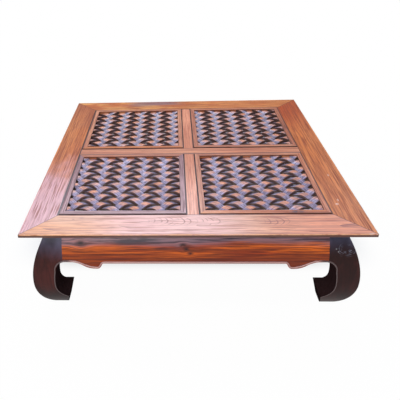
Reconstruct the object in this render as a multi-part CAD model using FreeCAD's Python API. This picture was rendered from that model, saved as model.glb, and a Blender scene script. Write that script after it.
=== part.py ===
import FreeCAD, Part
import math
import os
from FreeCAD import Vector

os.makedirs("parts", exist_ok=True)

# Low square table. Millimetres, +Z up, front at -Y, origin on the floor under the middle.

# Overall
TOP_WIDTH = 1200.0
TOP_DEPTH = 1200.0
HEIGHT = 375.0

# Clearances
JOINT_GAP = 0.3        # round a hidden tenon or tongue
OVERRUN = 5.0          # how far a cutting solid passes what it cuts

# Top board: mitred outer frame and the cross rails
TOP_THICK = 32.0
MEMBER_WIDTH = 115.0
LONG_RAIL_WIDTH = 56.0
SHORT_RAIL_WIDTH = 44.0
ARRIS_ROUND = 1.5
EDGE_FACE = 12.0       # upright part of the outer edge
EDGE_LIP = 2.0         # step back under the upright face
COVE_REACH = 34.0      # how far in the hollow under the edge runs
COVE_SAG = 4.0
LEDGE_WIDTH = 10.0     # ledge that carries the lattice panels
LEDGE_THICK = 5.0

# Hidden joints of the top board
MITRE_TENON_WIDTH = 40.0
MITRE_TENON_THICK = 10.0
MITRE_TENON_COVER = 25.0   # wood left between the tenon's end and the outer edge
RAIL_TENON_LENGTH = 20.0
RAIL_TENON_THICK = 10.0
RAIL_TENON_SHOULDER = 8.0
HALF_RAIL_TENON_LENGTH = 12.0

# Inset lattice panels
PANEL_GAP = 1.5        # open seam round each panel
PANEL_PROUD = 3.0      # how far a panel frame stands above the board
PANEL_MEMBER = 21.5
PANEL_EASE = 1.0
PANEL_LIP = 3.0        # wood above the groove for the slats
GROOVE_DEPTH = 7.0
GROOVE_PLAY = 0.2

# Woven slats. A column is a line of crossings where slats of one direction lie on top.
COLUMN_PITCH = 84.0    # between like columns, along X
ROW_PITCH = 56.0       # between crossings of one column, along Y
SLAT_WIDTH = 26.0
SLAT_THICK = 7.5
SLAT_CREST = 12.0      # flat length of the bent slat over a crossing
SLAT_GAP = 0.3
SHORTEST_SLAT = 14.0   # along its middle
WEAVE_SHIFT_X = -3.0   # a crossing's place from the panel's middle
WEAVE_SHIFT_Y = 13.5

# Legs and aprons. Insets are measured in from the top board's outer edge, heights up from the floor
# and drops down from the board's underside.
SHOULDER_INSET = 82.0
BULGE_INSET = 14.0
BULGE_HEIGHT = 140.0
FOOT_INSET = 66.0
TOE_BOTTOM_INSET = 118.0
TOE_TOP_INSET = 133.0
TOE_HEIGHT = 61.0
HOLLOW_INSET = 94.5
HOLLOW_HEIGHT = 128.0
HAUNCH_INSET = 103.0
HAUNCH_DROP = 140.0
ARCH_INSET = 138.0
ARCH_DROP = 112.0
JOINT_INSET = 130.0
APRON_THICK = 24.0
APRON_EDGE_DROP = 117.0
CUSP_DROP = 137.0
CUSP_OUTER_INSET = 248.0
CUSP_INNER_INSET = 256.0
ARCH_START_INSET = 160.0
STEP_INSET = 278.0

# Hidden joints of the base
APRON_TENON_LENGTH = 22.0
APRON_TENON_THICK = 10.0
APRON_TENON_SKIN = 5.0     # least wood in front of the tenon
APRON_TENON_DROP = 18.0    # from the board's underside to the tenon's top
APRON_TENON_DEPTH = 80.0
LEG_TENON_SIZE = 22.0
LEG_TENON_INSET = 88.0
LEG_TENON_HEIGHT = 18.0
TONGUE_THICK = 8.0
TONGUE_HEIGHT = 8.0
TONGUE_SKIN = 8.0
TONGUE_STOP = 20.0

HALF_WIDTH = TOP_WIDTH / 2
HALF_DEPTH = TOP_DEPTH / 2
UNDERSIDE = HEIGHT - TOP_THICK
HAUNCH_HEIGHT = UNDERSIDE - HAUNCH_DROP
ARCH_HEIGHT = UNDERSIDE - ARCH_DROP
APRON_EDGE_HEIGHT = UNDERSIDE - APRON_EDGE_DROP
CUSP_HEIGHT = UNDERSIDE - CUSP_DROP
PANEL_BOTTOM = UNDERSIDE + LEDGE_THICK
PANEL_TOP = HEIGHT + PANEL_PROUD

UP = Vector(0, 0, 1)


def face_of(edges):
    return Part.Face(Part.Wire(Part.__sortEdges__(edges)))


def polygon_face(points):
    return Part.Face(Part.makePolygon(points + points[:1]))


def box(x0, x1, y0, y1, z0, z1):
    return Part.makeBox(x1 - x0, y1 - y0, z1 - z0, Vector(x0, y0, z0))


def line(a, b):
    return Part.LineSegment(a, b).toShape()


def mirrored(shape, across_x, across_y):
    if across_x:
        shape = shape.mirror(Vector(0, 0, 0), Vector(1, 0, 0))
    if across_y:
        shape = shape.mirror(Vector(0, 0, 0), Vector(0, 1, 0))
    return shape


def tangent_centre(start, normal, end):
    """Centre of the arc that leaves start at right angles to normal and ends at end."""
    chord = end - start
    return start + normal * (chord.dot(chord) / (2 * chord.dot(normal)))


def arc_about(centre, start, end):
    middle = (start + end) * 0.5 - centre
    middle.normalize()
    return Part.Arc(start, centre + middle * (start - centre).Length, end).toShape()


def save(name, shape):
    shape.exportStep("parts/" + name + ".step")
    print(name, len(shape.Solids), "solids", round(shape.Volume / 1000), "cm3")


# Top board

def member_section(length):
    """A frame member along X from the middle, its outer edge on Y = 0 and its inside towards +Y."""
    z0 = UNDERSIDE
    lip = Vector(0, EDGE_LIP, HEIGHT - EDGE_FACE)
    cove_end = Vector(0, COVE_REACH, z0)
    hollow = Vector(0, HEIGHT - EDGE_FACE - z0, COVE_REACH - EDGE_LIP)
    hollow.normalize()
    cove_middle = (lip + cove_end) * 0.5 + hollow * COVE_SAG
    inner = MEMBER_WIDTH + LEDGE_WIDTH
    bend = ARRIS_ROUND * (1 - math.sqrt(0.5))
    edges = [
        line(Vector(0, 0, HEIGHT - EDGE_FACE), Vector(0, 0, HEIGHT - ARRIS_ROUND)),
        Part.Arc(Vector(0, 0, HEIGHT - ARRIS_ROUND), Vector(0, bend, HEIGHT - bend),
                 Vector(0, ARRIS_ROUND, HEIGHT)).toShape(),
        line(Vector(0, ARRIS_ROUND, HEIGHT), Vector(0, MEMBER_WIDTH, HEIGHT)),
        line(Vector(0, MEMBER_WIDTH, HEIGHT), Vector(0, MEMBER_WIDTH, z0 + LEDGE_THICK)),
        line(Vector(0, MEMBER_WIDTH, z0 + LEDGE_THICK), Vector(0, inner, z0 + LEDGE_THICK)),
        line(Vector(0, inner, z0 + LEDGE_THICK), Vector(0, inner, z0)),
        line(Vector(0, inner, z0), cove_end),
        Part.Arc(cove_end, cove_middle, lip).toShape(),
        line(lip, Vector(0, 0, HEIGHT - EDGE_FACE)),
    ]
    face = face_of(edges)
    face.translate(Vector(-length / 2, 0, 0))
    return face.extrude(Vector(length, 0, 0))


def mitred_member(length):
    """The same member cut at 45 degrees at both ends."""
    inner = MEMBER_WIDTH + LEDGE_WIDTH
    plan = polygon_face([
        Vector(-length / 2, 0, UNDERSIDE), Vector(length / 2, 0, UNDERSIDE),
        Vector(length / 2 - inner, inner, UNDERSIDE), Vector(inner - length / 2, inner, UNDERSIDE)])
    return member_section(length).common(plan.extrude(UP * TOP_THICK))


def placed(shape, side):
    """Moves a member made along X, with its edge on Y = 0, to one side of the board."""
    shape = shape.copy()
    if side in ("left", "right"):
        shape.rotate(Vector(0, 0, 0), UP, -90 if side == "left" else 90)
        shape.translate(Vector(-HALF_WIDTH if side == "left" else HALF_WIDTH, 0, 0))
    else:
        if side == "back":
            shape.rotate(Vector(0, 0, 0), UP, 180)
        shape.translate(Vector(0, -HALF_DEPTH if side == "front" else HALF_DEPTH, 0))
    return shape


def mitre_tenons(gap):
    """Four tenons, one at each corner, that leave the side members along Y."""
    centre_x = HALF_WIDTH - MEMBER_WIDTH / 2
    half = MITRE_TENON_WIDTH / 2 + gap
    middle_z = UNDERSIDE + TOP_THICK / 2
    end = HALF_DEPTH - MITRE_TENON_COVER + gap
    one = box(centre_x - half, centre_x + half, HALF_DEPTH - MEMBER_WIDTH, end,
              middle_z - MITRE_TENON_THICK / 2 - gap, middle_z + MITRE_TENON_THICK / 2 + gap)
    return [mirrored(one, across_x, across_y) for across_x in (False, True) for across_y in (False, True)]


def rail_tenon_z(gap):
    middle = UNDERSIDE + LEDGE_THICK + (TOP_THICK - LEDGE_THICK) / 2
    return middle - RAIL_TENON_THICK / 2 - gap, middle + RAIL_TENON_THICK / 2 + gap


def long_rail_tenons(gap):
    half = LONG_RAIL_WIDTH / 2 - RAIL_TENON_SHOULDER + gap
    z0, z1 = rail_tenon_z(gap)
    seam = HALF_WIDTH - MEMBER_WIDTH
    one = box(seam - gap, seam + RAIL_TENON_LENGTH + gap, -half, half, z0, z1)
    return [one, mirrored(one, True, False)]


def short_rail_tenons(gap):
    """Tenons at the outer and the inner end of the back short rail."""
    half = SHORT_RAIL_WIDTH / 2 - RAIL_TENON_SHOULDER + gap
    z0, z1 = rail_tenon_z(gap)
    seam = HALF_DEPTH - MEMBER_WIDTH
    outer = box(-half, half, seam - gap, seam + RAIL_TENON_LENGTH + gap, z0, z1)
    face = LONG_RAIL_WIDTH / 2
    inner = box(-half, half, face - HALF_RAIL_TENON_LENGTH - gap, face + gap, z0, z1)
    return [outer, inner]


def cross_rail(width, length, along_x):
    """A rail with a ledge on both sides, from the middle, notched over the ledges at its ends."""
    half = length / 2
    body = box(-half, half, -width / 2, width / 2, UNDERSIDE, HEIGHT)
    ledge_half = width / 2 + LEDGE_WIDTH
    ledge = box(LEDGE_WIDTH - half, half - LEDGE_WIDTH, -ledge_half, ledge_half, UNDERSIDE, PANEL_BOTTOM)
    rail = body.fuse(ledge)
    for end in (-1, 1):
        x0, x1 = sorted((end * (half - LEDGE_WIDTH), end * (half + OVERRUN)))
        rail = rail.cut(box(x0, x1, -ledge_half, ledge_half, UNDERSIDE - OVERRUN, PANEL_BOTTOM))
    if not along_x:
        rail.rotate(Vector(0, 0, 0), UP, 90)
    return rail


def leg_tenon(gap):
    """The tenon on top of the front left leg, with the board's corner at the origin."""
    a = LEG_TENON_INSET - gap
    b = LEG_TENON_INSET + LEG_TENON_SIZE + gap
    return box(a, b, a, b, UNDERSIDE - gap, UNDERSIDE + LEG_TENON_HEIGHT + gap)


def at_corner(shape, right, back):
    """Places a piece made for the front left corner, with that corner at the origin."""
    shape = shape.copy()
    shape.translate(Vector(-HALF_WIDTH, -HALF_DEPTH, 0))
    return mirrored(shape, right, back)


def tongue(span, gap):
    """The tongue on an apron's top edge, with the board's edge on Y = 0."""
    half = span / 2 - JOINT_INSET - TONGUE_STOP + gap
    inset = SHOULDER_INSET + TONGUE_SKIN
    return box(-half, half, inset - gap, inset + TONGUE_THICK + gap,
               UNDERSIDE - gap, UNDERSIDE + TONGUE_HEIGHT + gap)


def top_board():
    leg_mortises = [at_corner(leg_tenon(JOINT_GAP), right, back)
                    for right in (False, True) for back in (False, True)]
    for side in ("front", "back", "left", "right"):
        lengthwise = side in ("front", "back")
        span = TOP_WIDTH if lengthwise else TOP_DEPTH
        member = placed(mitred_member(span), side)
        cutters = leg_mortises + [placed(tongue(span, JOINT_GAP), side)]
        if lengthwise:
            cutters += mitre_tenons(JOINT_GAP)
            cutters.append(mirrored(short_rail_tenons(JOINT_GAP)[0], False, side == "front"))
        else:
            cutters += long_rail_tenons(JOINT_GAP)
            near = [t for t in mitre_tenons(0) if (t.CenterOfMass.x > 0) == (side == "right")]
            member = member.fuse(near).removeSplitter()
        save("top_member_" + side, member.cut(cutters))

    inner = [mirrored(short_rail_tenons(JOINT_GAP)[1], False, front) for front in (False, True)]
    rail = cross_rail(LONG_RAIL_WIDTH, TOP_WIDTH - 2 * MEMBER_WIDTH, True)
    rail = rail.fuse(long_rail_tenons(0)).removeSplitter().cut(inner)
    save("cross_rail_long", rail)

    half_length = HALF_DEPTH - MEMBER_WIDTH - LONG_RAIL_WIDTH / 2
    rail = cross_rail(SHORT_RAIL_WIDTH, half_length, False)
    rail.translate(Vector(0, LONG_RAIL_WIDTH / 2 + half_length / 2, 0))
    rail = rail.fuse(short_rail_tenons(0)).removeSplitter()
    save("cross_rail_back", rail)
    save("cross_rail_front", mirrored(rail, False, True))


# Lattice panels

PANEL_WIDTH = HALF_WIDTH - MEMBER_WIDTH - SHORT_RAIL_WIDTH / 2 - 2 * PANEL_GAP
PANEL_DEPTH = HALF_DEPTH - MEMBER_WIDTH - LONG_RAIL_WIDTH / 2 - 2 * PANEL_GAP
PANEL_MIDDLE_X = SHORT_RAIL_WIDTH / 2 + PANEL_GAP + PANEL_WIDTH / 2
PANEL_MIDDLE_Y = LONG_RAIL_WIDTH / 2 + PANEL_GAP + PANEL_DEPTH / 2

SLANT = math.atan2(ROW_PITCH, COLUMN_PITCH)
CROSSING_STEP = math.hypot(COLUMN_PITCH, ROW_PITCH) / 2
HALF_CROSSING = SLAT_WIDTH / (2 * math.sin(2 * SLANT))
# The slats just clear each other at a crossing's edge, where both are CLEAR from the weave's middle
CLEAR = (SLAT_THICK + SLAT_GAP) / 2
BEND = 2 * CLEAR / (CROSSING_STEP - 2 * HALF_CROSSING)
CREST = CLEAR + BEND * (HALF_CROSSING - SLAT_CREST / 2)
TROUGH = CLEAR + BEND * HALF_CROSSING
GROOVE_HEIGHT = CREST + TROUGH + SLAT_THICK + 2 * GROOVE_PLAY
GROOVE_TOP = PANEL_TOP - PANEL_LIP
WEAVE_MIDDLE = GROOVE_TOP - GROOVE_PLAY - SLAT_THICK / 2 - CREST


def panel_member(length):
    """A panel frame member along X with its outer side on Y = 0, grooved inside and mitred."""
    groove_bottom = GROOVE_TOP - GROOVE_HEIGHT
    floor = PANEL_MEMBER - GROOVE_DEPTH
    section = polygon_face([
        Vector(0, 0, PANEL_BOTTOM), Vector(0, PANEL_MEMBER, PANEL_BOTTOM),
        Vector(0, PANEL_MEMBER, groove_bottom), Vector(0, floor, groove_bottom),
        Vector(0, floor, GROOVE_TOP), Vector(0, PANEL_MEMBER, GROOVE_TOP),
        Vector(0, PANEL_MEMBER, PANEL_TOP - PANEL_EASE),
        Vector(0, PANEL_MEMBER - PANEL_EASE, PANEL_TOP),
        Vector(0, PANEL_EASE, PANEL_TOP), Vector(0, 0, PANEL_TOP - PANEL_EASE)])
    section.translate(Vector(-length / 2, 0, 0))
    plan = polygon_face([
        Vector(-length / 2, 0, PANEL_BOTTOM), Vector(length / 2, 0, PANEL_BOTTOM),
        Vector(length / 2 - PANEL_MEMBER, PANEL_MEMBER, PANEL_BOTTOM),
        Vector(PANEL_MEMBER - length / 2, PANEL_MEMBER, PANEL_BOTTOM)])
    return section.extrude(Vector(length, 0, 0)).common(plan.extrude(UP * (PANEL_TOP - PANEL_BOTTOM)))


def panel_frame(name, middle):
    for side, length, reach, turn in (("front", PANEL_WIDTH, PANEL_DEPTH / 2, 0),
                                      ("right", PANEL_DEPTH, PANEL_WIDTH / 2, 90),
                                      ("back", PANEL_WIDTH, PANEL_DEPTH / 2, 180),
                                      ("left", PANEL_DEPTH, PANEL_WIDTH / 2, 270)):
        member = panel_member(length)
        member.translate(Vector(0, -reach, 0))
        member.rotate(Vector(0, 0, 0), UP, turn)
        member.translate(middle)
        save(name + "_frame_" + side, member)


def wave_points(start, end, top_sign):
    """Corners of the bent centre line: a flat crest over one crossing, one bend down under the next."""
    crest = SLAT_CREST / 2
    first = math.floor(start / CROSSING_STEP)
    last = math.ceil(end / CROSSING_STEP)
    corners = []
    for number in range(first, last + 1):
        place = number * CROSSING_STEP
        if top_sign == (1 if number % 2 == 0 else -1):
            corners += [(place - crest, CREST), (place + crest, CREST)]
        else:
            corners.append((place, -TROUGH))
    inside = [c for c in corners if start < c[0] < end]

    def height_at(place):
        for (a, za), (b, zb) in zip(corners, corners[1:]):
            if a <= place <= b:
                return za + (zb - za) * (place - a) / (b - a)
        return corners[0][1] if place < corners[0][0] else corners[-1][1]

    return [(start, height_at(start))] + inside + [(end, height_at(end))]


def slat(reference, along, across, number, top_sign, half_x, half_y):
    """One bent slat, cut to the panel's grooves. None where only a scrap would be left in a corner."""
    foot = reference + across * (CROSSING_STEP * number)
    low, high = -math.inf, math.inf
    for place, direction, half in ((foot.x, along.x, half_x), (foot.y, along.y, half_y)):
        a, b = sorted(((-half - place) / direction, (half - place) / direction))
        low, high = max(low, a), min(high, b)
    if high - low < SHORTEST_SLAT:
        return None
    reach = 2 * HALF_CROSSING
    points = wave_points(low - reach, high + reach, top_sign)
    half = SLAT_THICK / 2
    upper = [foot + along * place + UP * (WEAVE_MIDDLE + z + half) for place, z in points]
    lower = [foot + along * place + UP * (WEAVE_MIDDLE + z - half) for place, z in reversed(points)]
    side = polygon_face(upper + lower)
    side.translate(across * -HALF_CROSSING)
    solid = side.extrude(across * (2 * HALF_CROSSING))
    room = box(-half_x, half_x, -half_y, half_y, PANEL_BOTTOM, PANEL_TOP)
    return solid.common(room).Solids[0]


def lattice(name, middle, rising_on_top):
    """Two layers of slats. The rising ones run to the back right, the falling ones to the front right."""
    half_x = PANEL_WIDTH / 2 - PANEL_MEMBER + GROOVE_DEPTH - SLAT_GAP
    half_y = PANEL_DEPTH / 2 - PANEL_MEMBER + GROOVE_DEPTH - SLAT_GAP
    reference = Vector(WEAVE_SHIFT_X, WEAVE_SHIFT_Y, 0)
    rising = Vector(math.cos(SLANT), math.sin(SLANT), 0)
    falling = Vector(math.cos(SLANT), -math.sin(SLANT), 0)
    most = math.ceil((half_x + half_y) / CROSSING_STEP) + 1
    for layer, along, across, sign in (("rising", rising, falling, 1), ("falling", falling, rising, -1)):
        slats = []
        for number in range(-most, most + 1):
            parity = 1 if number % 2 == 0 else -1
            top_sign = sign * parity * (1 if rising_on_top else -1)
            piece = slat(reference, along, across, number, top_sign, half_x, half_y)
            if piece is not None:
                piece.translate(middle)
                slats.append(piece)
        save(name + "_slats_" + layer, Part.makeCompound(slats))


def panels():
    for name, sx, sy in (("panel_front_left", -1, -1), ("panel_front_right", 1, -1),
                         ("panel_back_left", -1, 1), ("panel_back_right", 1, 1)):
        middle = Vector(sx * PANEL_MIDDLE_X, sy * PANEL_MIDDLE_Y, 0)
        panel_frame(name, middle)
        lattice(name, middle, sx == sy)


# Legs and aprons

def outer_centre():
    """Centre of the long arc from the bulge up to the shoulder, as inset and height."""
    return tangent_centre(Vector(BULGE_INSET, 0, BULGE_HEIGHT), Vector(1, 0, 0),
                          Vector(SHOULDER_INSET, 0, UNDERSIDE))


def outer_inset(height):
    centre = outer_centre()
    radius = centre.x - BULGE_INSET
    return centre.x - math.sqrt(radius ** 2 - (height - BULGE_HEIGHT) ** 2)


def arch_centre():
    """Centre of the small arc that turns the apron's edge down into the leg's hollow."""
    return tangent_centre(Vector(ARCH_INSET, 0, ARCH_HEIGHT), Vector(0, 0, -1),
                          Vector(HAUNCH_INSET, 0, HAUNCH_HEIGHT))


def arch_height_at_joint():
    centre = arch_centre()
    radius = ARCH_HEIGHT - centre.z
    return centre.z + math.sqrt(radius ** 2 - (JOINT_INSET - centre.x) ** 2)


def leg_outline():
    """The leg seen from the front, with the board's edge on X = 0."""
    shoulder = Vector(SHOULDER_INSET, 0, UNDERSIDE)
    bulge = Vector(BULGE_INSET, 0, BULGE_HEIGHT)
    foot = Vector(FOOT_INSET, 0, 0)
    toe_bottom = Vector(TOE_BOTTOM_INSET, 0, 0)
    toe_top = Vector(TOE_TOP_INSET, 0, TOE_HEIGHT)
    hollow = Vector(HOLLOW_INSET, 0, HOLLOW_HEIGHT)
    haunch = Vector(HAUNCH_INSET, 0, HAUNCH_HEIGHT)
    joint_low = Vector(JOINT_INSET, 0, arch_height_at_joint())
    joint_high = Vector(JOINT_INSET, 0, UNDERSIDE)
    inwards = Vector(1, 0, 0)
    return face_of([
        arc_about(outer_centre(), shoulder, bulge),
        arc_about(tangent_centre(bulge, inwards, foot), bulge, foot),
        line(foot, toe_bottom),
        line(toe_bottom, toe_top),
        arc_about(tangent_centre(hollow, inwards, toe_top), toe_top, hollow),
        arc_about(tangent_centre(hollow, inwards, haunch), hollow, haunch),
        arc_about(arch_centre(), haunch, joint_low),
        line(joint_low, joint_high),
        line(joint_high, shoulder),
    ])


def apron_section():
    """Section of the front apron, which leans and curves with the leg's outer face."""
    centre = outer_centre()
    low, high = CUSP_HEIGHT - OVERRUN, UNDERSIDE
    corners = {}
    for depth in (0, APRON_THICK):
        for height in (low, high):
            corners[depth, height] = Vector(0, outer_inset(height) + depth, height)
    edges = [line(corners[0, height], corners[APRON_THICK, height]) for height in (low, high)]
    for depth in (0, APRON_THICK):
        middle = Vector(0, centre.x + depth, centre.z)
        edges.append(arc_about(middle, corners[depth, low], corners[depth, high]))
    return face_of(edges)


def apron_tenon(gap):
    """The flat tenon at the left end of the front apron, with the board's corner at the origin."""
    high = UNDERSIDE - APRON_TENON_DROP
    low = high - APRON_TENON_DEPTH
    slope = (outer_inset(high) - outer_inset(low)) / (high - low)
    front = outer_inset(low) + APRON_TENON_SKIN - gap
    back = front + APRON_TENON_THICK + 2 * gap
    rise = slope * (high - low + gap)
    section = polygon_face([
        Vector(0, front - slope * gap, low - gap), Vector(0, back - slope * gap, low - gap),
        Vector(0, back + rise, high + gap), Vector(0, front + rise, high + gap)])
    section.translate(Vector(JOINT_INSET - APRON_TENON_LENGTH - gap, 0, 0))
    return section.extrude(Vector(APRON_TENON_LENGTH + 2 * gap, 0, 0))


def swapped(shape):
    """Swaps X and Y, which turns a piece of the front into one of the left side."""
    return shape.mirror(Vector(0, 0, 0), Vector(1, -1, 0))


def legs():
    outline = leg_outline()
    reach = TOE_TOP_INSET + OVERRUN
    seen_from_front = outline.extrude(Vector(0, reach, 0))
    leg = seen_from_front.common(swapped(seen_from_front))
    leg = leg.fuse(leg_tenon(0)).removeSplitter()
    mortise = apron_tenon(JOINT_GAP)
    leg = leg.cut([mortise, swapped(mortise)])
    for name, right, back in (("leg_front_left", False, False), ("leg_front_right", True, False),
                              ("leg_back_left", False, True), ("leg_back_right", True, True)):
        save(name, at_corner(leg, right, back))


def s_curve(low, high):
    """Two equal arcs from low to high, level at both ends."""
    middle = (low + high) * 0.5
    return [arc_about(tangent_centre(low, UP, middle), low, middle),
            arc_about(tangent_centre(high, -UP, middle), middle, high)]


def apron_outline(span):
    """The apron seen from the front, about the middle: straight edge, cusp, arch and leg joint."""
    end = span / 2 - JOINT_INSET
    half = []
    straight = Vector(span / 2 - STEP_INSET, 0, APRON_EDGE_HEIGHT)
    cusp_inner = Vector(span / 2 - CUSP_INNER_INSET, 0, CUSP_HEIGHT)
    cusp_outer = Vector(span / 2 - CUSP_OUTER_INSET, 0, CUSP_HEIGHT)
    arch_start = Vector(span / 2 - ARCH_START_INSET, 0, ARCH_HEIGHT)
    arch_end = Vector(span / 2 - ARCH_INSET, 0, ARCH_HEIGHT)
    joint_low = Vector(end, 0, arch_height_at_joint())
    centre = arch_centre()
    turned = Vector(span / 2 - centre.x, 0, centre.z)
    half += s_curve(cusp_inner, straight)
    half.append(line(cusp_inner, cusp_outer))
    half += s_curve(cusp_outer, arch_start)
    half.append(line(arch_start, arch_end))
    half.append(arc_about(turned, arch_end, joint_low))
    half.append(line(joint_low, Vector(end, 0, UNDERSIDE)))
    edges = half + [edge.mirror(Vector(0, 0, 0), Vector(1, 0, 0)) for edge in half]
    edges.append(line(straight, Vector(-straight.x, 0, straight.z)))
    edges.append(line(Vector(end, 0, UNDERSIDE), Vector(-end, 0, UNDERSIDE)))
    return face_of(edges)


def apron(span):
    """An apron along X with the board's edge on Y = 0."""
    end = span / 2 - JOINT_INSET
    section = apron_section()
    section.translate(Vector(-end, 0, 0))
    board = section.extrude(Vector(2 * end, 0, 0))
    board = board.common(apron_outline(span).extrude(Vector(0, SHOULDER_INSET + APRON_THICK + OVERRUN, 0)))
    tenon = apron_tenon(0)
    tenon.translate(Vector(-span / 2, 0, 0))
    return board.fuse([tenon, mirrored(tenon, True, False), tongue(span, 0)]).removeSplitter()


def aprons():
    for side in ("front", "back", "left", "right"):
        span = TOP_WIDTH if side in ("front", "back") else TOP_DEPTH
        save("apron_" + side, placed(apron(span), side))


top_board()
panels()
legs()
aprons()
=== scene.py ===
import math
import random

import bmesh
import bpy
from mathutils import Matrix, Vector


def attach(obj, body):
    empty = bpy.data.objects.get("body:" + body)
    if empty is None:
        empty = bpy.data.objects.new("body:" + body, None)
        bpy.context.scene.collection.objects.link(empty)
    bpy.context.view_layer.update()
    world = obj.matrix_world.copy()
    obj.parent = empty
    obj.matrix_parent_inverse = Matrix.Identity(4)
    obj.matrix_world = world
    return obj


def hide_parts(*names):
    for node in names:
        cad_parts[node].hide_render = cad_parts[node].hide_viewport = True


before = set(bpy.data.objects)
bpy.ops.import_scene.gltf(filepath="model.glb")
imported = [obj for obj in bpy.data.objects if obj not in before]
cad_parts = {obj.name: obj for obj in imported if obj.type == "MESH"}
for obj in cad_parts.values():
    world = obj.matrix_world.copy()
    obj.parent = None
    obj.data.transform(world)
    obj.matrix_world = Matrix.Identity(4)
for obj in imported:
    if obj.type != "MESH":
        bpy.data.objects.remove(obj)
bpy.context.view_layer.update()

# Lengths are in metres. The table's front is at -Y, and the floor at Z = 0.
HALF_BOARD = 0.6                # from the table's middle to the board's outer edge
BOARD_TOP = 0.375
MEMBER = 0.115                  # width of a member of the top frame
LONG_RAIL = 0.056               # widths of the cross rails
SHORT_RAIL = 0.044
CORNERS = (("front_left", -1, -1), ("front_right", 1, -1),
           ("back_left", -1, 1), ("back_right", 1, 1))
UP = Vector((0, 0, 1))
QUARTER = math.pi / 2

# Panels and their woven slats
PANEL_X, PANEL_Y = 0.2535, 0.2565               # from the table's middle to a panel's
PANEL_HALF_X, PANEL_HALF_Y = 0.230, 0.227
PANEL_FRAME = 0.0215
PANEL_TOP = 0.378
SLAT_ROOM_X, SLAT_ROOM_Y = 0.2152, 0.2122       # from a panel's middle to the end of its grooves
COLUMN_PITCH, ROW_PITCH = 0.084, 0.056
SLAT_WIDTH, SLAT_THICK = 0.026, 0.0075
SLAT_RISE, SLAT_FALL = 0.0067, 0.0086           # of a slat's middle, over and under the weave's
SLAT_SWELL = 0.0045             # how much deeper a slat is under its crests, where it has room
SWELL_FOCUS = 4.4               # how closely that extra depth keeps to the crest
SLAT_CROWN = 0.0005             # how far a slat's sides lie below its middle
SLAT_ROUNDING = 0.0009
SHORTEST_SLAT = 0.014
SLAT_STEPS = 8                  # faces along a slat from one crossing to the next
SLAT_STRIPS = 4                 # faces across it
SHARP_TURN = 0.9                # an edge that turns by more, in radians, is rounded
SAME_PLACE = 1e-6
WEAVE_SHIFT = Vector((-0.003, 0.0135, 0.0))     # from a panel's middle to the nearest crossing
WEAVE_MIDDLE = 0.364324                         # height above the floor
SLANT = math.atan2(ROW_PITCH, COLUMN_PITCH)
CROSSING_STEP = math.hypot(COLUMN_PITCH, ROW_PITCH) / 2     # along a slat, to the next one crossed
HALF_CROSSING = SLAT_WIDTH / (2 * math.sin(2 * SLANT))      # half of what a slat covers of another

GRAIN_DEPTH = 0.0004            # relief of the grain
RING_WANDER = 0.02              # how far growth rings stray from round


def tint(red, green, blue):
    """A colour given as it looks, from 0 to 255, as the shader wants it."""
    parts = []
    for part in (red, green, blue):
        part /= 255
        parts.append(part / 12.92 if part <= 0.04045 else ((part + 0.055) / 1.055) ** 2.4)
    return (*parts, 1.0)


def placed(name, data):
    """A new object at the origin, in the scene."""
    thing = bpy.data.objects.new(name, data)
    bpy.context.collection.objects.link(thing)
    return thing


# Shader maths

class Wire:
    """A socket of a finish, with arithmetic on its number."""

    def __init__(self, finish, socket):
        self.finish = finish
        self.socket = socket

    def maths(self, operation, *others):
        inputs = dict(enumerate((self, *others)))
        return self.finish.node("ShaderNodeMath", {"operation": operation}, inputs)

    def __add__(self, other):
        return self.maths("ADD", other)

    __radd__ = __add__

    def __sub__(self, other):
        return self.maths("SUBTRACT", other)

    def __rsub__(self, other):
        return self.finish.node("ShaderNodeMath", {"operation": "SUBTRACT"}, {0: other, 1: self})

    def __mul__(self, other):
        return self.maths("MULTIPLY", other)

    __rmul__ = __mul__

    def __truediv__(self, other):
        return self.maths("DIVIDE", other)

    def __pow__(self, other):
        return self.maths("POWER", other)

    def __abs__(self):
        return self.maths("ABSOLUTE")

    def least(self, other):
        return self.maths("MINIMUM", other)

    def most(self, other):
        return self.maths("MAXIMUM", other)

    def above(self, limit):
        """How far the number is above a limit, or nought."""
        return (self - limit).most(0.0)

    def from_half(self):
        """How far the number's fraction is from a half, for lines at a steady spacing."""
        return abs(self.maths("FRACT") - 0.5)


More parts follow.
